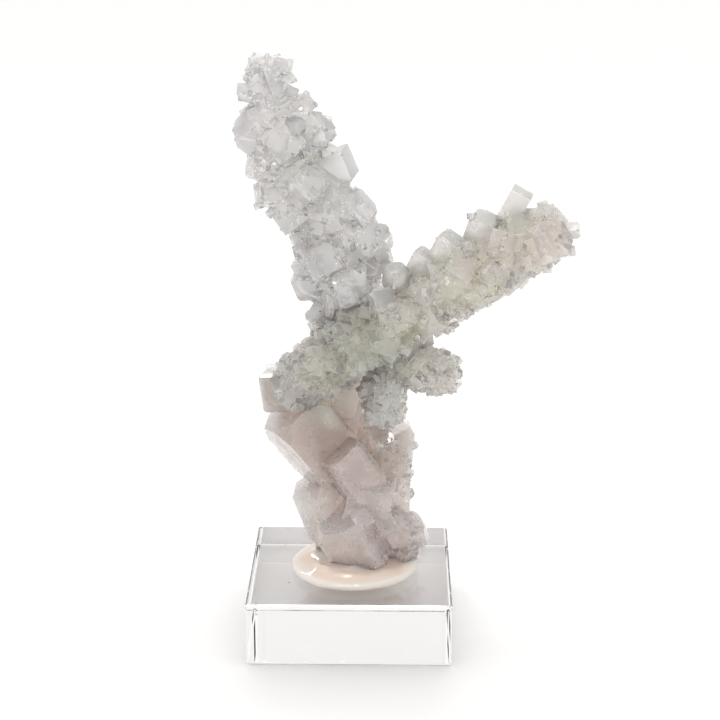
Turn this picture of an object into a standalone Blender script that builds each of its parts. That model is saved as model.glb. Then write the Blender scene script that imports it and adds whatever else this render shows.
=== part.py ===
"""An apophyllite specimen glued to a clear acrylic block.

Blocky pseudo-cubic crystals form a short stem. Two druse-covered stalactites cross above it and a stub
leaves the crossing to the right. The stem's foot sits in a puddle of hot-melt glue on the block.
+X is to the right, +Y away from the viewer, +Z up, and the origin is the centre of the block's underside.
"""

import math
import random
from collections import namedtuple

import bmesh
import bpy
from mathutils import Matrix, Vector

MM = 0.001

# Driving dimensions
BLOCK_WIDTH = 50.8 * MM
BLOCK_HEIGHT = 16.0 * MM
BLOCK_EDGE = 0.4 * MM
GLUE_RADIUS = 16.3 * MM
GLUE_HEIGHT = 3.4 * MM
GLUE_CENTRE = (1.1 * MM, -2.4 * MM)
GAP = 0.3 * MM
MERGE = 0.00001

# The puddle's outline: how far its crown falls to the rim, how high the rim is, and its points
GLUE_FALL = 0.25 * GLUE_HEIGHT
GLUE_RIM = 0.5 * GLUE_HEIGHT
CROWN_POINTS = 2
RIM_POINTS = 4
GLUE_STEPS = 28

# A branch's core is this share of its spine's radius. Druse crystals cover it, a golden turn apart.
CORE_SHARE = 0.8
GOLDEN_TURN = math.radians(137.5)
TURN_SPREAD = 0.5
LEAN_SPREAD = 0.45
PLAIN_SHARE = 0.72

# A crystal is a square prism in millimetres: its centre, width across, length along its axis, the way
# its axis points, its turn about that axis in degrees, and how far its corners are cut along each edge.
Crystal = namedtuple("Crystal", "at across along axis spin cut")

# How many crystals a branch is covered with, their widths in millimetres, and the seed for their places
Druse = namedtuple("Druse", "count smallest largest seed")
LONG_DRUSE = Druse(74, 4.2, 6.8, 11)
TALL_DRUSE = Druse(70, 4.4, 7.6, 23)
STUB_DRUSE = Druse(16, 3.2, 5.0, 5)
APRON_DRUSE = Druse(10, 3.0, 4.6, 8)

# A spine is the line through the middle of a branch, as points x, y, z and a radius, in millimetres.
LONG_SPINE = [
    (-15.4, -8.0, 65.4, 4.4),
    (-11.4, -8.0, 68.6, 5.9),
    (-4.8, -8.0, 73.4, 7.4),
    (7.4, -8.0, 80.4, 8.0),
    (19.5, -8.0, 89.2, 8.2),
    (33.8, -8.0, 99.0, 8.2),
    (43.5, -8.0, 105.0, 7.6),
    (49.0, -8.0, 106.8, 5.2),
]
TALL_SPINE = [
    (-1.0, 2.5, 72.0, 6.6),
    (-1.6, 3.0, 88.0, 8.0),
    (-3.0, 3.0, 98.5, 9.4),
    (-6.3, 3.0, 106.5, 9.2),
    (-10.4, 3.2, 114.0, 9.6),
    (-14.0, 3.5, 122.0, 8.8),
    (-16.8, 3.8, 130.0, 8.2),
    (-19.0, 4.0, 136.4, 5.2),
    (-20.6, 4.0, 143.2, 3.8),
]
STUB_SPINE = [
    (5.0, -5.0, 73.0, 6.8),
    (13.0, -5.5, 72.4, 7.4),
    (19.5, -6.0, 70.8, 6.6),
    (26.0, -6.0, 68.6, 3.4),
]
APRON_SPINE = [
    (10.0, -7.0, 70.0, 5.6),
    (8.8, -8.6, 64.0, 5.8),
    (8.0, -9.2, 57.6, 4.4),
]

# The large crystals of the stem, from the foot up
STEM_CRYSTALS = [
    Crystal((0.5, -0.5, 23.2), 13.5, 12.0, (0.05, -0.10, 1.00), 12, 2.5),
    Crystal((1.4, -6.6, 26.4), 12.6, 15.0, (-0.45, -0.25, 0.86), 38, 3.2),
    Crystal((-6.4, -0.8, 31.4), 9.6, 17.5, (-0.33, -0.10, 0.94), 28, 2.6),
    Crystal((11.2, -2.0, 25.6), 8.4, 11.0, (0.62, -0.20, 0.75), 20, 2.0),
    Crystal((11.2, 2.8, 33.4), 7.4, 13.0, (0.02, 0.05, 1.00), 24, 1.4),
    Crystal((4.6, -5.6, 36.4), 11.0, 13.0, (0.22, -0.30, 0.93), 52, 2.6),
    Crystal((0.0, 7.0, 30.6), 13.5, 21.0, (0.10, 0.28, 0.95), 33, 3.0),
    Crystal((0.6, -7.8, 44.6), 9.6, 14.5, (-0.50, -0.22, 0.84), 10, 1.8),
    Crystal((7.4, 0.8, 46.2), 12.0, 17.5, (0.08, -0.16, 0.98), 22, 2.8),
    Crystal((-9.4, -3.4, 51.6), 14.4, 20.0, (-0.58, -0.18, 0.80), 14, 4.2),
    Crystal((-4.8, 6.8, 48.4), 12.5, 19.0, (-0.15, 0.30, 0.94), 58, 2.8),
    Crystal((1.2, 2.4, 53.4), 11.5, 20.0, (0.12, 0.05, 0.99), 25, 2.4),
    Crystal((-17.2, -1.8, 64.4), 8.4, 9.6, (-0.12, -0.12, 0.98), 34, 0.7),
    Crystal((-8.6, 3.8, 62.6), 11.0, 13.0, (-0.30, 0.20, 0.93), 8, 2.0),
    Crystal((-0.6, 1.8, 63.6), 10.5, 15.0, (-0.05, 0.12, 0.99), 50, 2.0),
    Crystal((7.6, 6.2, 40.4), 8.0, 9.0, (0.50, 0.60, 0.60), 15, 1.8),
    Crystal((15.2, -1.0, 27.6), 4.4, 5.2, (0.75, -0.10, 0.65), 40, 1.0),
    Crystal((16.6, -0.6, 24.4), 4.6, 5.6, (0.92, -0.15, 0.20), 10, 1.0),
    Crystal((13.4, -3.4, 21.4), 5.4, 6.0, (0.60, -0.50, -0.30), 30, 1.2),
    Crystal((8.0, -8.6, 30.6), 5.0, 5.6, (0.35, -0.80, 0.40), 20, 1.1),
    Crystal((3.4, -11.4, 33.2), 4.6, 5.0, (-0.10, -0.90, 0.40), 35, 1.0),
    Crystal((6.6, -5.8, 52.4), 5.6, 6.4, (0.40, -0.70, 0.60), 25, 1.0),
]

# The larger crystals of the stalactites, which stand out of their druse
LONG_CRYSTALS = [
    Crystal((39.4, -7.0, 112.0), 5.2, 8.4, (0.45, -0.15, 0.88), 8, 0.0),
    Crystal((31.6, -8.4, 106.6), 6.0, 7.4, (0.25, -0.35, 0.91), 30, 1.5),
    Crystal((23.2, -9.0, 101.6), 5.8, 7.8, (0.42, -0.30, 0.86), 12, 0.8),
    Crystal((17.2, -8.6, 98.0), 5.0, 6.6, (0.40, -0.25, 0.87), 10, 0.6),
    Crystal((11.2, -9.6, 94.8), 4.8, 5.8, (0.10, -0.40, 0.90), 18, 0.9),
    Crystal((26.0, -12.8, 97.8), 6.6, 7.6, (0.30, -0.80, 0.52), 50, 1.0),
    Crystal((46.4, -10.6, 103.8), 9.6, 9.0, (0.50, -0.70, 0.42), 12, 2.6),
    Crystal((53.0, -9.0, 106.6), 3.0, 4.2, (0.90, -0.20, 0.10), 35, 0.7),
    Crystal((-13.2, -9.2, 72.6), 4.4, 4.6, (-0.50, -0.30, 0.80), 25, 0.7),
    Crystal((8.0, -13.2, 89.6), 5.4, 5.8, (0.20, -0.80, 0.55), 12, 0.9),
    Crystal((2.6, -13.2, 76.4), 7.6, 6.6, (0.10, -0.92, 0.30), 30, 2.0),
    Crystal((40.0, -9.6, 99.4), 7.6, 12.0, (0.83, -0.10, 0.55), 28, 1.8),
    Crystal((30.4, -10.4, 93.2), 8.0, 10.0, (0.82, -0.20, 0.55), 40, 2.0),
    Crystal((18.6, -11.0, 86.0), 7.6, 9.0, (0.75, -0.45, 0.45), 22, 1.8),
]
TALL_CRYSTALS = [
    Crystal((-21.6, 1.8, 127.8), 9.0, 10.4, (-0.62, -0.42, 0.55), 20, 3.0),
    Crystal((-16.0, -3.0, 126.4), 8.4, 8.6, (0.10, -0.90, 0.30), 34, 2.0),
    Crystal((-9.0, 1.6, 127.6), 7.2, 8.6, (0.55, -0.35, 0.75), 28, 2.2),
    Crystal((-4.4, 1.8, 119.4), 7.4, 9.6, (0.90, -0.25, 0.36), 8, 0.0),
    Crystal((-10.4, -5.0, 116.4), 6.6, 7.8, (0.20, -0.86, 0.45), 44, 1.2),
    Crystal((0.2, -0.6, 108.6), 8.2, 8.8, (0.66, -0.45, 0.55), 24, 1.6),
    Crystal((2.4, -1.6, 101.4), 8.4, 8.2, (0.62, -0.60, 0.40), 8, 1.4),
    Crystal((5.4, 1.6, 97.0), 6.6, 8.4, (0.80, -0.10, 0.40), 38, 0.6),
    Crystal((-20.8, 2.8, 119.6), 6.4, 7.6, (-0.82, -0.30, 0.30), 26, 1.4),
    Crystal((-19.4, 2.4, 112.8), 5.6, 6.8, (-0.80, -0.30, 0.10), 30, 1.2),
    Crystal((-10.6, 0.8, 90.6), 5.4, 6.6, (-0.30, -0.35, 0.88), 20, 0.6),
    Crystal((-6.0, -1.0, 83.6), 6.0, 8.0, (-0.45, -0.30, -0.68), 12, 0.9),
    Crystal((-6.0, -5.8, 98.0), 7.6, 7.6, (-0.20, -0.90, 0.30), 30, 1.6),
    Crystal((0.0, -5.2, 90.6), 8.4, 8.8, (0.15, -0.90, 0.35), 16, 1.4),
    Crystal((-23.4, 3.4, 137.2), 4.6, 5.2, (-0.80, -0.20, 0.40), 16, 1.1),
    Crystal((-21.6, 3.4, 144.2), 4.4, 5.2, (-0.20, -0.20, 0.92), 36, 1.1),
    Crystal((-18.2, 3.8, 143.9), 3.9, 4.6, (0.30, -0.10, 0.90), 10, 1.0),
    Crystal((-15.6, 3.8, 139.4), 3.8, 4.8, (0.72, -0.20, 0.40), 28, 1.0),
    Crystal((-11.8, 3.2, 133.8), 4.4, 5.4, (0.60, -0.30, 0.60), 20, 0.9),
]


def new_collection(name):
    collection = bpy.data.collections.new(name)
    bpy.context.scene.collection.children.link(collection)
    return collection


def new_object(name, mesh, collection, material=None):
    part = bpy.data.objects.new(name, mesh)
    collection.objects.link(part)
    if material is not None:
        part.data.materials.append(material)
    return part


def helper(part):
    """Marks an object as a cutter, which is no piece of the specimen."""
    part.hide_render = True
    part.display_type = "WIRE"
    return part


def clear_material(name, colour, roughness, see_through, ior):
    material = bpy.data.materials.new(name)
    material.use_nodes = True
    shader = material.node_tree.nodes["Principled BSDF"]
    shader.inputs["Base Color"].default_value = (*colour, 1.0)
    shader.inputs["Roughness"].default_value = roughness
    shader.inputs["Metallic"].default_value = 0.0
    shader.inputs["Transmission Weight"].default_value = see_through
    shader.inputs["IOR"].default_value = ior
    return material


def add_crystal(bm, crystal, grow=0.0):
    """Adds one closed crystal: a square prism whose eight corners are cut to triangles."""
    shape = bmesh.ops.create_cube(bm, size=1.0)["verts"]
    across = crystal.across * MM + 2 * grow
    along = crystal.along * MM + 2 * grow
    bmesh.ops.scale(bm, vec=(across, across, along), verts=shape)
    if crystal.cut > 0:
        cut = bmesh.ops.bevel(
            bm, geom=shape, offset=crystal.cut * MM, offset_type="OFFSET",
            segments=1, profile=0.5, affect="VERTICES", material=-1,
        )
        shape = list({v for face in cut["faces"] for v in face.verts})
    turn = Vector(crystal.axis).to_track_quat("Z", "Y").to_matrix().to_4x4()
    spin = Matrix.Rotation(math.radians(crystal.spin), 4, "Z")
    place = Matrix.Translation(Vector(crystal.at) * MM) @ turn @ spin
    bmesh.ops.transform(bm, matrix=place, verts=shape)


def crystals_mesh(name, crystals, grow=0.0):
    bm = bmesh.new()
    for crystal in crystals:
        add_crystal(bm, crystal, grow)
    mesh = bpy.data.meshes.new(name)
    bm.to_mesh(mesh)
    bm.free()
    return mesh


def along_spine(spine, share):
    """The point, radius and direction at a share of the spine's length, 0 to 1."""
    stretches = [(Vector(here), Vector(there)) for here, there in zip(spine, spine[1:])]
    left = share * sum((there.xyz - here.xyz).length for here, there in stretches)
    for here, there in stretches:
        reach = (there.xyz - here.xyz).length
        if left <= reach:
            break
        left -= reach
    both = here.lerp(there, min(left / reach, 1.0))
    return both.xyz, both.w, (there.xyz - here.xyz).normalized()


def core_mesh(name, spine, grow=0.0):
    """A tube with filled caps along the spine, a little thinner than the branch."""
    curve = bpy.data.curves.new(name, "CURVE")
    curve.dimensions = "3D"
    curve.bevel_depth = MM
    curve.bevel_resolution = 2
    curve.use_fill_caps = True
    line = curve.splines.new("POLY")
    line.points.add(len(spine) - 1)
    for point, (x, y, z, radius) in zip(line.points, spine):
        point.co = (x * MM, y * MM, z * MM, 1.0)
        point.radius = radius * CORE_SHARE + grow / MM
    tube = bpy.data.objects.new(name, curve)
    bpy.context.scene.collection.objects.link(tube)
    graph = bpy.context.evaluated_depsgraph_get()
    mesh = bpy.data.meshes.new_from_object(tube.evaluated_get(graph))
    bpy.data.objects.remove(tube)
    bm = bmesh.new()
    bm.from_mesh(mesh)
    bmesh.ops.remove_doubles(bm, verts=bm.verts, dist=MERGE)
    bm.to_mesh(mesh)
    bm.free()
    return mesh


def druse_crystals(spine, druse):
    """Crystals wound round a branch with their outer faces at its radius, each with a random lean."""
    rng = random.Random(druse.seed)
    found = []
    for i in range(druse.count):
        middle, radius, ahead = along_spine(spine, (i + rng.random()) / druse.count)
        side = ahead.orthogonal().normalized()
        turn = GOLDEN_TURN * i + rng.uniform(-TURN_SPREAD, TURN_SPREAD)
        out = Matrix.Rotation(turn, 3, ahead) @ side
        size = min(rng.uniform(druse.smallest, druse.largest), radius)
        lean = Vector([rng.uniform(-LEAN_SPREAD, LEAN_SPREAD) for _ in range(3)])
        at = middle + out * (radius * rng.uniform(0.88, 1.08) - 0.5 * size)
        axis = (out + ahead * rng.uniform(-0.3, 0.5) + lean).normalized()
        length = size * rng.uniform(0.95, 1.35)
        cut = 0.0 if rng.random() < PLAIN_SHARE else size * rng.uniform(0.12, 0.28)
        found.append(Crystal(tuple(at), size, length, tuple(axis), rng.uniform(0, 90), cut))
    return found


def largest_shell(mesh):
    """Keeps only the biggest connected shell of a mesh."""
    bm = bmesh.new()
    bm.from_mesh(mesh)
    unseen = set(bm.verts)
    shells = []
    while unseen:
        shell, edge = set(), [unseen.pop()]
        while edge:
            vert = edge.pop()
            shell.add(vert)
            near = {e.other_vert(vert) for e in vert.link_edges} & unseen
            unseen -= near
            edge.extend(near)
        shells.append(shell)
    keep = max(shells, key=len)
    bmesh.ops.delete(bm, geom=[v for v in bm.verts if v not in keep], context="VERTS")
    bmesh.ops.dissolve_degenerate(bm, dist=MERGE, edges=bm.edges)
    bm.to_mesh(mesh)
    bm.free()


def combine(part, other, operation):
    """Joins or cuts a part with another mesh object that may overlap itself, and applies the result."""
    boolean = part.modifiers.new(operation.lower(), "BOOLEAN")
    boolean.operation = operation
    boolean.solver = "EXACT"
    boolean.use_self = True
    boolean.object = other
    graph = bpy.context.evaluated_depsgraph_get()
    mesh = bpy.data.meshes.new_from_object(part.evaluated_get(graph))
    part.modifiers.remove(boolean)
    part.data = mesh


def grown_shape(name, spines, crystals, cutters):
    """The shapes of a branch, each larger by the gap, to cut its neighbours with."""
    meshes = [core_mesh(name, spine, GAP) for spine in spines]
    meshes.append(crystals_mesh(name, crystals, GAP))
    bm = bmesh.new()
    for mesh in meshes:
        bm.from_mesh(mesh)
    joined = bpy.data.meshes.new(name)
    bm.to_mesh(joined)
    bm.free()
    return helper(new_object(name, joined, cutters))


def grow_branch(name, spines, crystals, neighbours, material, specimen, cutters):
    """One branch: its cores and crystals joined in one solid, cut back from its neighbours."""
    first = core_mesh(name, spines[0]) if spines else crystals_mesh(name, crystals[:1])
    branch = new_object(name, first, specimen, material)
    for spine in spines[1:]:
        core = helper(new_object(name + "_core", core_mesh(name, spine), cutters))
        combine(branch, core, "UNION")
    rest = crystals if spines else crystals[1:]
    grown = helper(new_object(name + "_crystals", crystals_mesh(name, rest), cutters))
    combine(branch, grown, "UNION")
    for neighbour in neighbours:
        combine(branch, neighbour, "DIFFERENCE")
    largest_shell(branch.data)
    return branch


def acrylic_block(specimen, material):
    bm = bmesh.new()
    bmesh.ops.create_cube(bm, size=1.0)
    bmesh.ops.scale(bm, vec=(BLOCK_WIDTH, BLOCK_WIDTH, BLOCK_HEIGHT), verts=bm.verts)
    bmesh.ops.translate(bm, vec=(0, 0, BLOCK_HEIGHT / 2), verts=bm.verts)
    bmesh.ops.bevel(
        bm, geom=bm.edges, offset=BLOCK_EDGE, offset_type="OFFSET", segments=1,
        profile=0.5, affect="EDGES", material=-1,
    )
    mesh = bpy.data.meshes.new("acrylic_block")
    bm.to_mesh(mesh)
    bm.free()
    return new_object("acrylic_block", mesh, specimen, material)


def glue_profile():
    """Half the puddle's outline, from its crown down over the rounded rim to the block."""
    points = []
    flat = GLUE_RADIUS - GLUE_RIM
    side = (GLUE_HEIGHT - GLUE_FALL) / 2
    for i in range(CROWN_POINTS):
        share = i / CROWN_POINTS
        points.append((flat * share, GLUE_HEIGHT - GLUE_FALL * share ** 2))
    for i in range(RIM_POINTS + 1):
        angle = math.pi * (0.5 - i / RIM_POINTS)
        points.append((flat + GLUE_RIM * math.cos(angle), side + side * math.sin(angle)))
    points.append((0.0, 0.0))
    return points


def glue_puddle(specimen, cutters, material, foot):
    """The glue: a turned dome, cut out where the crystal's foot is bedded."""
    bm = bmesh.new()
    base = BLOCK_HEIGHT + GAP
    verts = [bm.verts.new((x, 0.0, z)) for x, z in glue_profile()]
    edges = [bm.edges.new(pair) for pair in zip(verts, verts[1:])]
    bmesh.ops.spin(
        bm, geom=verts + edges, axis=(0, 0, 1), cent=(0, 0, 0),
        angle=2 * math.pi, steps=GLUE_STEPS, use_merge=True,
    )
    bmesh.ops.remove_doubles(bm, verts=bm.verts, dist=MERGE)
    bmesh.ops.recalc_face_normals(bm, faces=bm.faces)
    bmesh.ops.translate(bm, vec=(*GLUE_CENTRE, base), verts=bm.verts)
    mesh = bpy.data.meshes.new("mounting_glue")
    bm.to_mesh(mesh)
    bm.free()
    glue = new_object("mounting_glue", mesh, specimen, material)
    combine(glue, foot, "DIFFERENCE")
    largest_shell(glue.data)
    return glue


def main():
    for old in list(bpy.data.objects):
        bpy.data.objects.remove(old)
    specimen = new_collection("apophyllite_specimen")
    cutters = new_collection("cutters")

    acrylic = clear_material("clear_acrylic", (0.97, 0.98, 0.99), 0.03, 1.0, 1.49)
    glue = clear_material("hot_melt_glue", (0.83, 0.73, 0.66), 0.12, 0.35, 1.48)
    blocky = clear_material("apophyllite_stem", (0.62, 0.55, 0.52), 0.18, 0.6, 1.535)
    druzy = clear_material("apophyllite_druse", (0.58, 0.57, 0.52), 0.22, 0.6, 1.535)

    long_crystals = LONG_CRYSTALS + druse_crystals(LONG_SPINE, LONG_DRUSE)
    tall_crystals = TALL_CRYSTALS + druse_crystals(TALL_SPINE, TALL_DRUSE)
    stub_crystals = druse_crystals(STUB_SPINE, STUB_DRUSE) + druse_crystals(APRON_SPINE, APRON_DRUSE)

    long_grown = grown_shape("long_grown", [LONG_SPINE], long_crystals, cutters)
    stem_grown = grown_shape("stem_grown", [], STEM_CRYSTALS, cutters)
    tall_grown = grown_shape("tall_grown", [TALL_SPINE], tall_crystals, cutters)

    grow_branch("long_stalactite", [LONG_SPINE], long_crystals, [], druzy, specimen, cutters)
    grow_branch("stem_cluster", [], STEM_CRYSTALS, [long_grown], blocky, specimen, cutters)
    grow_branch("tall_stalactite", [TALL_SPINE], tall_crystals, [long_grown, stem_grown],
                druzy, specimen, cutters)
    grow_branch("side_stub", [STUB_SPINE, APRON_SPINE], stub_crystals,
                [long_grown, stem_grown, tall_grown], druzy, specimen, cutters)
    acrylic_block(specimen, acrylic)
    glue_puddle(specimen, cutters, glue, stem_grown)


main()
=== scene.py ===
import math
import random

import bmesh
import bpy
from mathutils import Matrix, Vector, noise
from mathutils.bvhtree import BVHTree
from mathutils.kdtree import KDTree


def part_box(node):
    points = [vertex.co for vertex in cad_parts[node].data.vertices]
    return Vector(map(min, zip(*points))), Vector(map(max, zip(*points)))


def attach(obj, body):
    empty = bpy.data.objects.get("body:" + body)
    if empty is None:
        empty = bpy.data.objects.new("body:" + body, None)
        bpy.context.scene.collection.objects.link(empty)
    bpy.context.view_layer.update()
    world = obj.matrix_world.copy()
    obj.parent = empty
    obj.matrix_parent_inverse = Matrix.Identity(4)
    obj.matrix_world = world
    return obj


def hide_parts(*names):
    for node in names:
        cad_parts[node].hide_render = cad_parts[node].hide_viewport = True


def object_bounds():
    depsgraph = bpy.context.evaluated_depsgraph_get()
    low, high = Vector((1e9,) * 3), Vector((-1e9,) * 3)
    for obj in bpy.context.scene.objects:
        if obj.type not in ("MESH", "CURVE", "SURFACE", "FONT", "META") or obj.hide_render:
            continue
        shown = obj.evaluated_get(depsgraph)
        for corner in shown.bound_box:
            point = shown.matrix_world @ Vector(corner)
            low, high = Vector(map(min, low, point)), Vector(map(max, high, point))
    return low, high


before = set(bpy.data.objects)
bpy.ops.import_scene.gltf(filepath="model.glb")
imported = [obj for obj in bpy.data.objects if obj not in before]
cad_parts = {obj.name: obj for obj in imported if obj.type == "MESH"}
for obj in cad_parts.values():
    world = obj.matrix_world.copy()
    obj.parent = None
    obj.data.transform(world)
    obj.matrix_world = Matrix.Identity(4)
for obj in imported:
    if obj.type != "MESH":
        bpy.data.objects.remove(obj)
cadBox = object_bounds()
mm = 0.001
mergeDistance = 0.000001


# camera: a long lens a little above the specimen, matched to the block's corners
camera = {
    "place": (0.0098, -0.4571, 0.2136), "tiltDown": 17.31, "turn": 0.93, "lens": 96.15, "sensor": 36.0,
    "clipFrom": 0.01,
}


def makeCamera():
    data = bpy.data.cameras.new("camera")
    data.lens = camera["lens"]
    data.sensor_width = camera["sensor"]
    data.clip_start = camera["clipFrom"]
    eye = bpy.data.objects.new("camera", data)
    eye.location = camera["place"]
    eye.rotation_euler = (math.radians(90 - camera["tiltDown"]), 0, math.radians(camera["turn"]))
    bpy.context.scene.collection.objects.link(eye)
    bpy.context.scene.camera = eye


# helpers for materials and meshes
def linear(hexColour):
    channels = [int(hexColour[i:i + 2], 16) / 255 for i in (1, 3, 5)]
    return (*[c / 12.92 if c <= 0.04045 else ((c + 0.055) / 1.055) ** 2.4 for c in channels], 1.0)


def addNode(tree, kind, settings=None, links=None):
    node = tree.nodes.new(kind)
    for key, value in (settings or {}).items():
        if isinstance(key, str) and hasattr(node, key):
            setattr(node, key, value)
        else:
            node.inputs[key].default_value = value
    for key, source in (links or {}).items():
        tree.links.new(source, node.inputs[key])
    return node


def newMaterial(name):
    material = bpy.data.materials.new(name)
    material.use_nodes = True
    return material, material.node_tree, material.node_tree.nodes["Principled BSDF"]


def setStops(ramp, stops):
    elements = ramp.color_ramp.elements
    while len(elements) < len(stops):
        elements.new(0.5)
    for element, (place, colour) in zip(elements, stops):
        element.position = place
        element.color = colour


# dust and mineral grains: a dark dot in some of the cells of a Voronoi pattern, over the colour in socket 6
def addSpecks(tree, place, values):
    cells = addNode(tree, "ShaderNodeTexVoronoi", {"Scale": 1 / (values["speck"] * mm)}, {"Vector": place})
    dot = addNode(tree, "ShaderNodeMath", {
        "operation": "LESS_THAN", 1: 0.5 * values["speckWidth"] / values["speck"],
    }, {0: cells.outputs["Distance"]})
    pick = addNode(tree, "ShaderNodeSeparateColor", {}, {"Color": cells.outputs["Color"]})
    chosen = addNode(tree, "ShaderNodeMath", {
        "operation": "LESS_THAN", 1: values["speckShare"]}, {0: pick.outputs["Red"]})
    both = addNode(tree, "ShaderNodeMath", {"operation": "MULTIPLY"}, {
        0: dot.outputs["Value"], 1: chosen.outputs["Value"]})
    return addNode(tree, "ShaderNodeMix", {"data_type": "RGBA", 7: linear(values["speckColour"])}, {
        0: both.outputs["Value"]})


def addPiece(name, mesh, material, slot, *nodes):
    piece = bpy.data.objects.new(name, mesh)
    bpy.context.scene.collection.objects.link(piece)
    mesh.materials.clear()
    mesh.materials.append(material)
    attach(piece, "root")
    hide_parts(*nodes)
    return piece


def looseObject(name, mesh):
    holder = bpy.data.objects.new(name, mesh)
    bpy.context.scene.collection.objects.link(holder)
    return holder


def joinedMesh(holder, other, operation):
    join = holder.modifiers.new("join", "BOOLEAN")
    join.operation = operation
    join.solver = "MANIFOLD"
    join.object = other
    mesh = bpy.data.meshes.new_from_object(holder.evaluated_get(bpy.context.evaluated_depsgraph_get()))
    holder.modifiers.remove(join)
    return mesh


def mergedMesh(node):
    bm = bmesh.new()
    bm.from_mesh(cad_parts[node].data)
    bmesh.ops.remove_doubles(bm, verts=bm.verts, dist=mergeDistance)
    return bm


# apophyllite: a clear to milky silicate, grown in blocks with striated sides. The eye gets a soft grey body
# that darkens with thickness, a thin gloss, and faint patches of green, pink and yellow.
# Sizes are in millimetres, and density is per metre
crystalLook = {
    "ior": 1.535, "coatRoughness": 0.04, "bleed": (1.0, 0.95, 0.9),
    "patch": 13.0, "patchDetail": 6.0, "patchRoughness": 0.7, "tintFrom": 0.30, "tintSpread": 0.40,
    "fine": 3.4, "fineDetail": 4.0, "milkFrom": 0.40, "milkTo": 0.60, "stainCore": 0.3,
    "striation": 0.45, "striationDepth": 0.05, "striationDetail": 2.0,
    "striationTurn": (0.5, -0.4, 0.3), "striationScale": (0.15, 0.15, 1.0),
    "speck": 8.0, "speckWidth": 0.5, "speckShare": 0.22, "speckColour": "#6b655f",
    "freshTint": "#f3f2f5", "freshTransmission": 0.76, "freshRoughness": 0.05, "freshLines": 2.20,
    "largeFresh": 0.35, "smallFresh": 0.85,
    "druse": {
        "tints": ["#e0e3d2", "#e4e0d3", "#e5dcd5", "#e2dcc8"], "absorb": "#bcb8a4", "scatter": 30.0,
        "density": 18.0, "transmission": 0.40, "clear": 0.08, "milky": 0.40, "lines": 0.25, "coat": 0.60,
    },
    "upper": {
        "tints": ["#ebeee7", "#f2f0ed", "#f3eeee", "#efece7"], "absorb": "#bbb9b2", "scatter": 30.0,
        "density": 18.0, "transmission": 0.46, "clear": 0.06, "milky": 0.38, "lines": 0.30, "coat": 0.60,
    },
    "stem": {
        "tints": ["#ddd4c6", "#e6d6d2", "#d8cac4", "#ebe2d4"], "absorb": "#c6b8b1", "scatter": 50.0,
        "density": 10.0, "transmission": 0.42, "clear": 0.16, "milky": 0.44, "lines": 0.10, "coat": 0.60,
    },
}
# faint stains in the crystal: (centre, reach) in millimetres, tint, strength
stains = {
    "druse": (
        ((3.8, -15, 79.6), 14, "#e2e3cf", 0.8), ((-8.9, -15, 76.7), 9, "#e3e5d2", 0.7),
        ((12.3, -14, 73.5), 9, "#e1e4d3", 0.7), ((-4.9, -14, 68.6), 7, "#e2dfc2", 0.7),
        ((-0.8, -15, 73.5), 5, "#dfdebf", 0.6), ((15.8, -15, 82.4), 6, "#dcdcbf", 0.6),
        ((42.6, -14, 111.5), 8, "#d4d9ca", 0.7), ((48.3, -13, 105.5), 9, "#e0cfc8", 0.8),
        ((31.2, -13, 94.1), 9, "#e5e0cb", 0.7), ((-15.7, -12, 65.8), 7, "#f1e5df", 0.8),
        ((9.0, -13, 63.5), 9, "#f3f2ec", 0.9), ((13.6, -10, 62.0), 5, "#e6efd8", 0.7),
    ),
    "upper": (
        ((-12.7, -3, 122.9), 10, "#dde5da", 0.6), ((-4.5, -3, 117.4), 9, "#d9e1dd", 0.6),
        ((-23.8, -3, 129.4), 9, "#eee3e6", 0.7), ((0, -4, 96), 14, "#f7f6f3", 0.9),
        ((-19.5, -2, 139.5), 11, "#f8f4f4", 0.9),
    ),
    "stem": (
        ((-9.3, -9, 52.5), 17, "#aa9b95", 0.9), ((12.0, -5, 49.0), 13, "#a79b92", 0.9),
        ((-12.7, -6, 30.6), 9, "#e2ddd0", 0.8), ((1.0, -12, 45.0), 7, "#cbb8b9", 0.7),
        ((-21.0, -5, 66.0), 10, "#968f89", 1.0), ((-2.9, -10, 63.2), 9, "#e6ecdb", 0.9),
    ),
}


def addStains(tree, place, colour, kind):
    for (x, y, z), reach, tint, strength in stains[kind]:
        away = addNode(tree, "ShaderNodeVectorMath", {
            "operation": "DISTANCE", 1: (x * mm, y * mm, z * mm)}, {0: place})
        share = addNode(tree, "ShaderNodeMapRange", {
            "interpolation_type": "SMOOTHSTEP", "From Min": crystalLook["stainCore"] * reach * mm,
            "From Max": reach * mm, "To Min": strength, "To Max": 0.0}, {"Value": away.outputs["Value"]})
        mix = addNode(tree, "ShaderNodeMix", {"data_type": "RGBA", 7: linear(tint)}, {
            0: share.outputs["Result"], 6: colour})
        colour = mix.outputs[2]
    return colour


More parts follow.
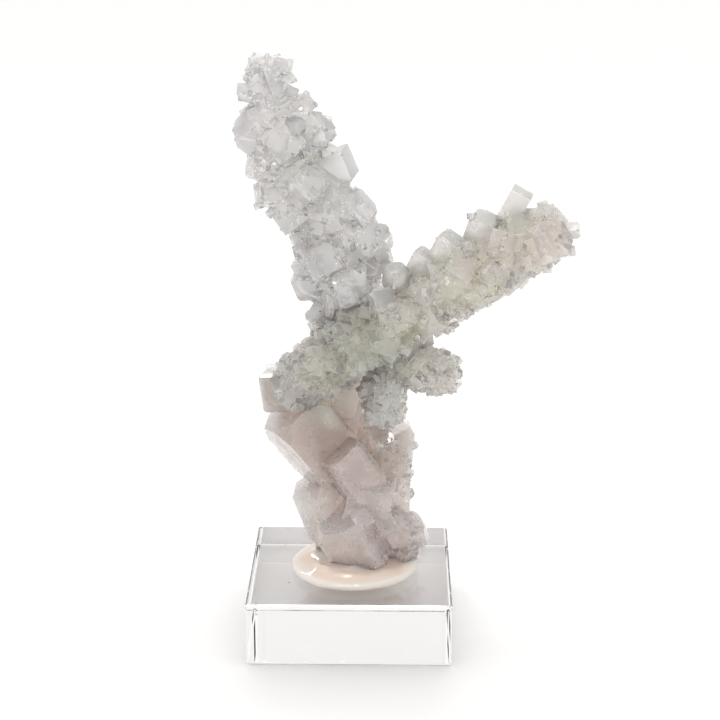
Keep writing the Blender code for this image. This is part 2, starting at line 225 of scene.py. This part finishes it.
def crystalMaterial(name, kind):
    values = crystalLook[kind]
    tints = values["tints"]
    material, tree, shader = newMaterial(name)
    place = addNode(tree, "ShaderNodeTexCoord").outputs["Object"]
    fresh = addNode(tree, "ShaderNodeAttribute", {"attribute_name": "fresh"}).outputs["Fac"]
    patches = addNode(tree, "ShaderNodeTexNoise", {
        "Scale": 1 / (crystalLook["patch"] * mm), "Detail": crystalLook["patchDetail"],
        "Roughness": crystalLook["patchRoughness"]}, {"Vector": place})
    colours = addNode(tree, "ShaderNodeValToRGB", {}, {"Fac": patches.outputs["Fac"]})
    step = crystalLook["tintSpread"] / (len(tints) - 1)
    setStops(colours, [(crystalLook["tintFrom"] + step * i, linear(t)) for i, t in enumerate(tints)])
    clouds = addNode(tree, "ShaderNodeTexNoise", {
        "Scale": 1 / (crystalLook["fine"] * mm), "Detail": crystalLook["fineDetail"]}, {"Vector": place})
    milk = addNode(tree, "ShaderNodeMapRange", {
        "From Min": crystalLook["milkFrom"], "From Max": crystalLook["milkTo"],
        "To Min": values["clear"], "To Max": values["milky"]}, {"Value": clouds.outputs["Fac"]})
    # growth lines run round the crystals, so the noise is drawn out across Z
    drawn = addNode(tree, "ShaderNodeMapping", {
        "Rotation": crystalLook["striationTurn"], "Scale": crystalLook["striationScale"]}, {"Vector": place})
    lines = addNode(tree, "ShaderNodeTexNoise", {
        "Scale": 1 / (crystalLook["striation"] * mm), "Detail": crystalLook["striationDetail"],
    }, {"Vector": drawn.outputs["Vector"]})
    depth = addNode(tree, "ShaderNodeMapRange", {
        "To Min": values["lines"], "To Max": crystalLook["freshLines"]}, {"Value": fresh})
    bump = addNode(tree, "ShaderNodeBump", {"Distance": crystalLook["striationDepth"] * mm}, {
        "Strength": depth.outputs["Result"], "Height": lines.outputs["Fac"]})
    # a fresh crystal is clearer than the milky rest
    clearness = addNode(tree, "ShaderNodeMapRange", {
        "To Min": values["transmission"], "To Max": crystalLook["freshTransmission"]}, {"Value": fresh})
    rough = addNode(tree, "ShaderNodeMapRange", {"To Max": crystalLook["freshRoughness"]}, {
        "Value": fresh, "To Min": milk.outputs["Result"]})
    stained = addStains(tree, place, colours.outputs["Color"], kind)
    body = addNode(tree, "ShaderNodeMix", {"data_type": "RGBA", 7: linear(crystalLook["freshTint"])}, {
        0: fresh, 6: stained})
    shader.inputs["IOR"].default_value = crystalLook["ior"]
    shader.inputs["Coat Weight"].default_value = values["coat"]    # the fresh growth face, which glints
    shader.inputs["Coat Roughness"].default_value = crystalLook["coatRoughness"]
    shader.inputs["Subsurface Weight"].default_value = 1.0
    shader.inputs["Subsurface Radius"].default_value = crystalLook["bleed"]
    shader.inputs["Subsurface Scale"].default_value = values["scatter"] * mm
    specks = addSpecks(tree, place, crystalLook)
    tree.links.new(body.outputs[2], specks.inputs[6])
    tree.links.new(specks.outputs[2], shader.inputs["Base Color"])
    tree.links.new(clearness.outputs["Result"], shader.inputs["Transmission Weight"])
    tree.links.new(rough.outputs["Result"], shader.inputs["Roughness"])
    tree.links.new(bump.outputs["Normal"], shader.inputs["Normal"])
    volume = addNode(tree, "ShaderNodeVolumeAbsorption", {
        "Color": linear(values["absorb"]), "Density": values["density"]})
    tree.links.new(volume.outputs["Volume"], tree.nodes["Material Output"].inputs["Volume"])
    return material


# druse: small crystals grown over each branch, each sort as (count, smallest, largest width in millimetres).
# calm is a stretch along one axis (from, to, in millimetres) where only a share of the coarse and of the
# fine ones grew. The fine ones keep to patches too, and bare is how much of the surface they leave free.
# fresh is the share that stayed clear
druse = {
    "long_stalactite": {
        "coarse": (800, 1.0, 2.8), "fine": (1500, 0.5, 1.1), "bare": 0.45, "seed": 3, "fresh": 0.25,
        "calm": (0, 6, 70, 0.35, 0.8)},
    "tall_stalactite": {
        "coarse": (560, 1.2, 3.8), "fine": (1700, 0.5, 1.3), "bare": 0.52, "seed": 4, "fresh": 0.35,
        "calm": (2, 62, 134, 0.28, 0.8)},
    "side_stub": {
        "coarse": (300, 0.8, 1.8), "fine": (700, 0.4, 0.9), "bare": 0.40, "seed": 5, "fresh": 0.25,
        "calm": (2, 0, 0, 1.0, 1.0)},
    "stem_cluster": {
        "coarse": (220, 0.8, 2.0), "fine": (1100, 0.5, 1.1), "bare": 0.50, "seed": 6, "fresh": 0.30,
        "calm": (0, -30, 8, 0.0, 0.01)},
}
patchLength = 7.0
groupLimit = 24
# how a small crystal sits and is shaped, as shares of its own width. gap keeps the crystals of one group
# apart, cutShare of them have their corners cut by cut per cent, and faces up to largestFace are its own
growth = {
    "reach": 0.9, "lean": 0.5, "rise": 0.12, "shortest": 0.9, "tallest": 1.3, "gap": 0.95,
    "cutShare": 0.6, "cut": 18, "nearby": 0.8, "largestFace": 2,
}

# the large clear crystals that stand out of the druse and stayed bare: (centre, reach) in millimetres
clearCrystals = (
    ((-21.6, 1.8, 127.8), 6.2), ((-9.0, 1.6, 127.6), 4.6), ((-4.4, 1.8, 119.4), 6.4),
    ((-10.4, -5.0, 116.4), 4.0), ((-10.6, 0.8, 90.6), 4.2), ((-6.0, -1.0, 83.6), 4.2),
    ((5.4, 1.6, 97.0), 5.0), ((39.4, -7.0, 112.0), 5.4), ((31.6, -8.4, 106.6), 4.6),
    ((23.2, -9.0, 101.6), 4.8), ((17.2, -8.6, 98.0), 4.2), ((11.2, -9.6, 94.8), 3.9),
    ((8.0, -13.2, 89.6), 3.6), ((53.0, -9.0, 106.6), 2.6), ((26.0, -12.8, 97.8), 4.0),
)


def isClear(point):
    return any((point - Vector(centre) * mm).length < reach * mm for centre, reach in clearCrystals)


def surfacePoints(bm, count, rng):
    bm.faces.ensure_lookup_table()
    areas = [face.calc_area() for face in bm.faces]
    for face in rng.choices(bm.faces, weights=areas, k=count):
        corners = [loop.vert.co for loop in face.loops]
        a, b = sorted((rng.random(), rng.random()))
        yield corners[0] * a + corners[1] * (b - a) + corners[2] * (1 - b), face.normal.copy()


def drusePlaces(bm, values, rng):
    low, high = cadBox
    axis, start, end, *shares = values["calm"]
    found = []
    for sort, share in zip(("coarse", "fine"), shares):
        count, smallest, largest = values[sort]
        for point, normal in surfacePoints(bm, count, rng):
            size = mm * (smallest + (largest - smallest) * rng.random() ** 2)
            reach = growth["reach"] * size
            if any(point[i] - reach < low[i] or point[i] + reach > high[i] for i in range(3)):
                continue
            if isClear(point) or start * mm < point[axis] < end * mm and rng.random() > share:
                continue
            patch = 0.5 + 0.5 * noise.noise(point / (patchLength * mm))
            if sort == "fine" and patch < values["bare"]:
                continue
            lean = Vector([rng.uniform(-growth["lean"], growth["lean"]) for _ in range(3)])
            turn = (normal + lean).to_track_quat("Z", "Y").to_matrix().to_4x4()
            spin = Matrix.Rotation(rng.uniform(0, math.pi / 2), 4, "Z")
            tall = size * rng.uniform(growth["shortest"], growth["tallest"])
            place = Matrix.Translation(point) @ turn @ spin @ Matrix.Diagonal((size, size, tall, 1.0))
            found.append((point + normal * growth["rise"] * size, size, place))
    return found


# crystals of one group don't touch each other, so a group joins the branch in one step
def clearGroups(places):
    gap = growth["gap"]
    tree = KDTree(len(places))
    for i, (at, _, _) in enumerate(places):
        tree.insert(at, i)
    tree.balance()
    widest = max(size for _, size, _ in places)
    group = {}
    for i, (at, size, _) in enumerate(places):
        near = [j for _, j, distance in tree.find_range(at, gap * (size + widest))
                if j in group and distance < gap * (size + places[j][1])]
        taken = {group[j] for j in near}
        free = [g for g in range(groupLimit) if g not in taken]
        if free:
            group[i] = free[0]
    return [[places[i] for i in group if group[i] == g] for g in range(max(group.values()) + 1)]


def cubesMesh(name, places, rng):
    bm = bmesh.new()
    cut = []
    for _, _, matrix in places:
        corners = bmesh.ops.create_cube(bm, size=1.0, matrix=matrix)["verts"]
        if rng.random() < growth["cutShare"]:
            cut += corners
    bmesh.ops.bevel(bm, geom=cut, offset=growth["cut"], offset_type="PERCENT", segments=1, profile=0.5,
                    affect="VERTICES", material=-1)
    mesh = bpy.data.meshes.new(name)
    bm.to_mesh(mesh)
    bm.free()
    return mesh


# each face carries how clear its crystal is, from none to one, for the material to read
def markFresh(mesh, places, share, rng):
    tree = KDTree(len(places))
    for i, (_, _, matrix) in enumerate(places):
        tree.insert(matrix.translation, i)
    tree.balance()
    chosen = [rng.random() < share for _ in places]
    fresh = []
    for face in mesh.polygons:
        _, nearest, distance = tree.find(face.center)
        size = places[nearest][1]
        isNear = distance < growth["nearby"] * size and face.area < growth["largestFace"] * size ** 2
        small = crystalLook["smallFresh"] * (chosen[nearest] and isNear)
        fresh.append(crystalLook["largeFresh"] if isClear(face.center) else small)
    mesh.attributes.new("fresh", "FLOAT", "FACE").data.foreach_set("value", fresh)


def growDruse(node):
    values = druse[node]
    rng = random.Random(values["seed"])
    bm = mergedMesh(node)
    places = drusePlaces(bm, values, rng)
    mesh = bpy.data.meshes.new(node + "_visual")
    bm.to_mesh(mesh)
    bm.free()
    body = looseObject(node + "_body", mesh)
    for i, group in enumerate(clearGroups(places)):
        other = looseObject(f"{node}_group{i}", cubesMesh(node, group, rng))
        body.data = joinedMesh(body, other, "UNION")
        bpy.data.objects.remove(other)
    mesh = body.data
    bpy.data.objects.remove(body)
    markFresh(mesh, places, values["fresh"], rng)
    print(node, "druse:", len(places), "crystals,", len(mesh.polygons), "faces")
    return mesh


# clear cast acrylic, cut and flame-polished: colourless, with sharp reflections, faint scuffs and dust
acrylicLook = {
    "ior": 1.49, "roughness": 0.0, "scuffed": 0.06, "colour": "#fffefe",
    "scuff": 4.0, "scuffDetail": 5.0, "scuffWarp": 1.0, "scuffFrom": 0.5, "scuffTo": 0.8,
    "speck": 9.0, "speckWidth": 0.7, "speckShare": 0.25, "speckColour": "#8a8784",
}


def acrylicMaterial():
    material, tree, shader = newMaterial("clear_cast_acrylic")
    place = addNode(tree, "ShaderNodeTexCoord").outputs["Object"]
    scuffs = addNode(tree, "ShaderNodeTexNoise", {
        "Scale": 1 / (acrylicLook["scuff"] * mm), "Detail": acrylicLook["scuffDetail"],
        "Distortion": acrylicLook["scuffWarp"]}, {"Vector": place})
    rough = addNode(tree, "ShaderNodeMapRange", {
        "From Min": acrylicLook["scuffFrom"], "From Max": acrylicLook["scuffTo"],
        "To Min": acrylicLook["roughness"], "To Max": acrylicLook["scuffed"],
    }, {"Value": scuffs.outputs["Fac"]})
    tree.links.new(rough.outputs["Result"], shader.inputs["Roughness"])
    specks = addSpecks(tree, place, acrylicLook)
    specks.inputs[6].default_value = linear(acrylicLook["colour"])
    tree.links.new(specks.outputs[2], shader.inputs["Base Color"])
    shader.inputs["IOR"].default_value = acrylicLook["ior"]
    shader.inputs["Transmission Weight"].default_value = 1.0
    return material


# hot-melt glue: a resin that sets milky with a peach tint and a wet gloss. It pooled round the foot,
# crept a little way up the crystal, and stopped in a rounded, paler rim. Sizes are in millimetres
puddle = {
    "centre": (1.1, -2.4), "radius": 16.1, "height": 3.1, "rim": 1.7, "sag": 1.1,
    "rings": 60, "rimSteps": 12, "steps": 160, "creep": 1.6, "creepReach": 1.6, "clearance": 0.06,
    "lobes": ((2, 0.6, 0.012), (3, 2.0, 0.010), (5, 0.4, 0.005)), "ripple": 0.12, "rippleLength": 7.0,
}
# low folds in the top of the glue: (height, distance from the centre, width, angle, spread)
folds = ((0.70, 11.8, 0.85, -1.78, 0.30), (0.70, 9.3, 0.85, -1.50, 0.42), (0.80, 10.6, 0.95, -2.35, 0.30))
glueLook = {
    "ior": 1.48, "roughness": 0.04, "transmission": 0.08, "scatter": 5.0, "bleed": (1.0, 0.9, 0.8),
    "sharpFrom": 50,
    "peach": "#fbdfd2", "pale": "#fde2d6", "rim": "#fbe6db", "paleFrom": 13.2, "rimFrom": 16.3,
}


def puddleProfile():
    flat = puddle["radius"] - puddle["rim"]
    side = (puddle["height"] - puddle["sag"]) / 2
    for i in range(puddle["rings"]):
        share = i / puddle["rings"]
        yield flat * share, puddle["height"] - puddle["sag"] * share ** 2
    for i in range(puddle["rimSteps"] + 1):
        angle = math.pi * (0.5 - i / puddle["rimSteps"])
        yield flat + puddle["rim"] * math.cos(angle), side + side * math.sin(angle)
    yield 0.0, 0.0


def pourGlue(bottom):
    bm = bmesh.new()
    verts = [bm.verts.new((x * mm, 0, z * mm)) for x, z in puddleProfile()]
    edges = [bm.edges.new(pair) for pair in zip(verts, verts[1:])]
    bmesh.ops.spin(bm, geom=verts + edges, axis=(0, 0, 1), cent=(0, 0, 0), angle=2 * math.pi,
                   steps=puddle["steps"], use_merge=True)
    bmesh.ops.remove_doubles(bm, verts=bm.verts, dist=mergeDistance)
    bmesh.ops.recalc_face_normals(bm, faces=bm.faces)
    x, y = puddle["centre"]
    foot = mergedMesh("stem_cluster")
    for vert in foot.verts:
        vert.co += vert.normal * puddle["clearance"] * mm
    crystal = BVHTree.FromBMesh(foot)
    for vert in bm.verts:
        angle = math.atan2(vert.co.y, vert.co.x)
        swell = 1 + sum(size * math.sin(count * angle + start) for count, start, size in puddle["lobes"])
        onTop = min(1.0, vert.co.z / (0.5 * puddle["height"] * mm))
        radius = math.hypot(vert.co.x, vert.co.y) / mm
        fold = sum(size * math.exp(-((radius - at) / width) ** 2 - ((angle - turn) / spread) ** 2)
                   for size, at, width, turn, spread in folds)
        vert.co = (vert.co.x * swell + x * mm, vert.co.y * swell + y * mm, vert.co.z + bottom)
        distance = crystal.find_nearest(vert.co)[3]
        creep = puddle["creep"] * math.exp(-distance / (puddle["creepReach"] * mm))
        ripple = puddle["ripple"] * noise.noise(vert.co / (puddle["rippleLength"] * mm))
        vert.co.z += onTop * (creep + ripple + fold) * mm
    pool = looseObject("glue_pool", bpy.data.meshes.new("glue_pool"))
    bm.to_mesh(pool.data)
    bed = looseObject("glue_bed", bpy.data.meshes.new("glue_bed"))
    foot.to_mesh(bed.data)
    bm.free()
    foot.free()
    mesh = joinedMesh(pool, bed, "DIFFERENCE")
    mesh.shade_smooth()
    mesh.set_sharp_from_angle(angle=math.radians(glueLook["sharpFrom"]))
    bpy.data.objects.remove(pool)
    bpy.data.objects.remove(bed)
    return mesh


def glueMaterial():
    material, tree, shader = newMaterial("hot_melt_glue_milky")
    place = addNode(tree, "ShaderNodeTexCoord").outputs["Object"]
    x, y = puddle["centre"]
    fromCentre = addNode(tree, "ShaderNodeVectorMath", {
        "operation": "SUBTRACT", 1: (x * mm, y * mm, 0)}, {0: place})
    flat = addNode(tree, "ShaderNodeVectorMath", {
        "operation": "MULTIPLY", 1: (1, 1, 0)}, {0: fromCentre.outputs["Vector"]})
    radius = addNode(tree, "ShaderNodeVectorMath", {"operation": "LENGTH"}, {0: flat.outputs["Vector"]})
    share = addNode(tree, "ShaderNodeMapRange", {
        "From Max": glueLook["rimFrom"] * mm}, {"Value": radius.outputs["Value"]})
    colours = addNode(tree, "ShaderNodeValToRGB", {}, {"Fac": share.outputs["Result"]})
    stops = ((0.0, "pale"), (glueLook["paleFrom"] / glueLook["rimFrom"], "peach"), (1.0, "rim"))
    setStops(colours, [(at, linear(glueLook[tint])) for at, tint in stops])
    tree.links.new(colours.outputs["Color"], shader.inputs["Base Color"])
    shader.inputs["Roughness"].default_value = glueLook["roughness"]
    shader.inputs["IOR"].default_value = glueLook["ior"]
    shader.inputs["Transmission Weight"].default_value = glueLook["transmission"]
    shader.inputs["Subsurface Weight"].default_value = 1.0
    shader.inputs["Subsurface Radius"].default_value = glueLook["bleed"]
    shader.inputs["Subsurface Scale"].default_value = glueLook["scatter"] * mm
    return material


# studio: a flat white floor under soft light
studio = {
    "floorSize": 6.0, "floorDrop": 0.2 * mm, "floorColour": "#fbfaf9", "floorRoughness": 0.9,
    "floorShine": 0.1, "worldColour": "#fffefd", "aim": (0, 0, 0.07),
    "walls": 0.98, "wallsTo": 0.3, "ceiling": 0.74, "ceilingFrom": 0.8,
    "skyStrength": 0.78, "skyAngle": 70, "skyFrom": (0.0, 0.45, 1.0), "bounces": 28,
}
# small bright lamps: they add little light, but glint in the facets and the glue
lights = {
    "front": {"place": (-0.20, -0.62, 0.66), "size": (0.05, 0.04), "power": 0.18},
    "right": {"place": (0.62, -0.22, 0.62), "size": (0.03, 0.08), "power": 0.18},
    "overhead": {"place": (-0.08, 0.10, 0.85), "size": (0.08, 0.03), "power": 0.20},
    "back": {"place": (-0.10, 0.70, 0.50), "size": (0.60, 0.04), "power": 0.75},
    "backLow": {"place": (0.10, 0.74, 0.40), "size": (0.40, 0.025), "power": 0.30},
    "left": {"place": (-0.60, -0.30, 0.45), "size": (0.03, 0.03), "power": 0.06},
    "frontHigh": {"place": (0.05, -0.45, 0.80), "size": (0.03, 0.03), "power": 0.06},
    "rightHigh": {"place": (0.38, 0.05, 0.78), "size": (0.03, 0.03), "power": 0.06},
    "leftHigh": {"place": (-0.40, 0.05, 0.75), "size": (0.03, 0.03), "power": 0.06},
    "frontLow": {"place": (0.28, -0.62, 0.34), "size": (0.03, 0.03), "power": 0.06},
}
# a broad lamp that lights only the wet glue, for the long soft streaks in its folds
glueLamp = {"place": (-0.04, -0.14, 0.85), "size": (0.30, 0.26), "power": 1.6}


def addLamp(name, values):
    data = bpy.data.lights.new(name, "AREA")
    data.shape = "RECTANGLE"
    data.size, data.size_y = values["size"]
    data.energy = values["power"]
    lamp = looseObject(name, data)
    lamp.location = values["place"]
    aim = Vector(studio["aim"]) - lamp.location
    lamp.rotation_euler = aim.to_track_quat("-Z", "Y").to_euler()
    return lamp


def makeStudio():
    bm = bmesh.new()
    bmesh.ops.create_grid(bm, x_segments=1, y_segments=1, size=studio["floorSize"])
    bmesh.ops.translate(bm, vec=(0, 0, -studio["floorDrop"]), verts=bm.verts)
    mesh = bpy.data.meshes.new("studio_floor")
    bm.to_mesh(mesh)
    bm.free()
    floor = looseObject("studio_floor", mesh)
    material, _, shader = newMaterial("matt_white_paper")
    shader.inputs["Base Color"].default_value = linear(studio["floorColour"])
    shader.inputs["Roughness"].default_value = studio["floorRoughness"]
    shader.inputs["Specular IOR Level"].default_value = studio["floorShine"]
    mesh.materials.append(material)
    world = bpy.data.worlds.new("studio")
    world.use_nodes = True
    tree = world.node_tree
    sky = tree.nodes["Background"]
    sky.inputs["Color"].default_value = linear(studio["worldColour"])
    direction = addNode(tree, "ShaderNodeTexCoord").outputs["Generated"]
    height = addNode(tree, "ShaderNodeSeparateXYZ", {}, {"Vector": direction})
    strength = addNode(tree, "ShaderNodeMapRange", {
        "From Min": studio["wallsTo"], "From Max": studio["ceilingFrom"],
        "To Min": studio["walls"], "To Max": studio["ceiling"]}, {"Value": height.outputs["Z"]})
    tree.links.new(strength.outputs["Result"], sky.inputs["Strength"])
    bpy.context.scene.world = world
    # the overhead softbox is a wide sun, so the floor stays evenly white out to its edges
    softbox = bpy.data.lights.new("softbox", "SUN")
    softbox.energy = studio["skyStrength"]
    softbox.angle = math.radians(studio["skyAngle"])
    holder = looseObject("softbox", softbox)
    holder.rotation_euler = Vector(studio["skyFrom"]).to_track_quat("Z", "Y").to_euler()
    for name, values in lights.items():
        addLamp(name, values)
    bpy.context.scene.view_settings.view_transform = "Standard"
    # light crosses many crystal faces before it comes out again
    bpy.context.scene.cycles.max_bounces = studio["bounces"]
    bpy.context.scene.cycles.transmission_bounces = studio["bounces"]


makeCamera()
makeStudio()
print("camera, floor and lights are in place")

druzy = crystalMaterial("apophyllite_druse_milky", "druse")
blocky = crystalMaterial("apophyllite_blocky_milky", "stem")
upper = crystalMaterial("apophyllite_druse_pale", "upper")
for node, finish in (("long_stalactite", druzy), ("tall_stalactite", upper), ("side_stub", druzy)):
    addPiece(node + "_crystals", growDruse(node), finish, "apophyllite_druse", node)
addPiece("stem_crystals", growDruse("stem_cluster"), blocky, "apophyllite_stem", "stem_cluster")
print("crystals are grown")

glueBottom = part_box("mounting_glue")[0][2]
glue = addPiece("glue_puddle", pourGlue(glueBottom), glueMaterial(), "hot_melt_glue", "mounting_glue")
wet = bpy.data.collections.new("wet_glue")
wet.objects.link(glue)
addLamp("glueLamp", glueLamp).light_linking.receiver_collection = wet
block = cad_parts["acrylic_block"].data
block.materials.clear()
block.materials.append(acrylicMaterial())
print("block and glue have their finish")
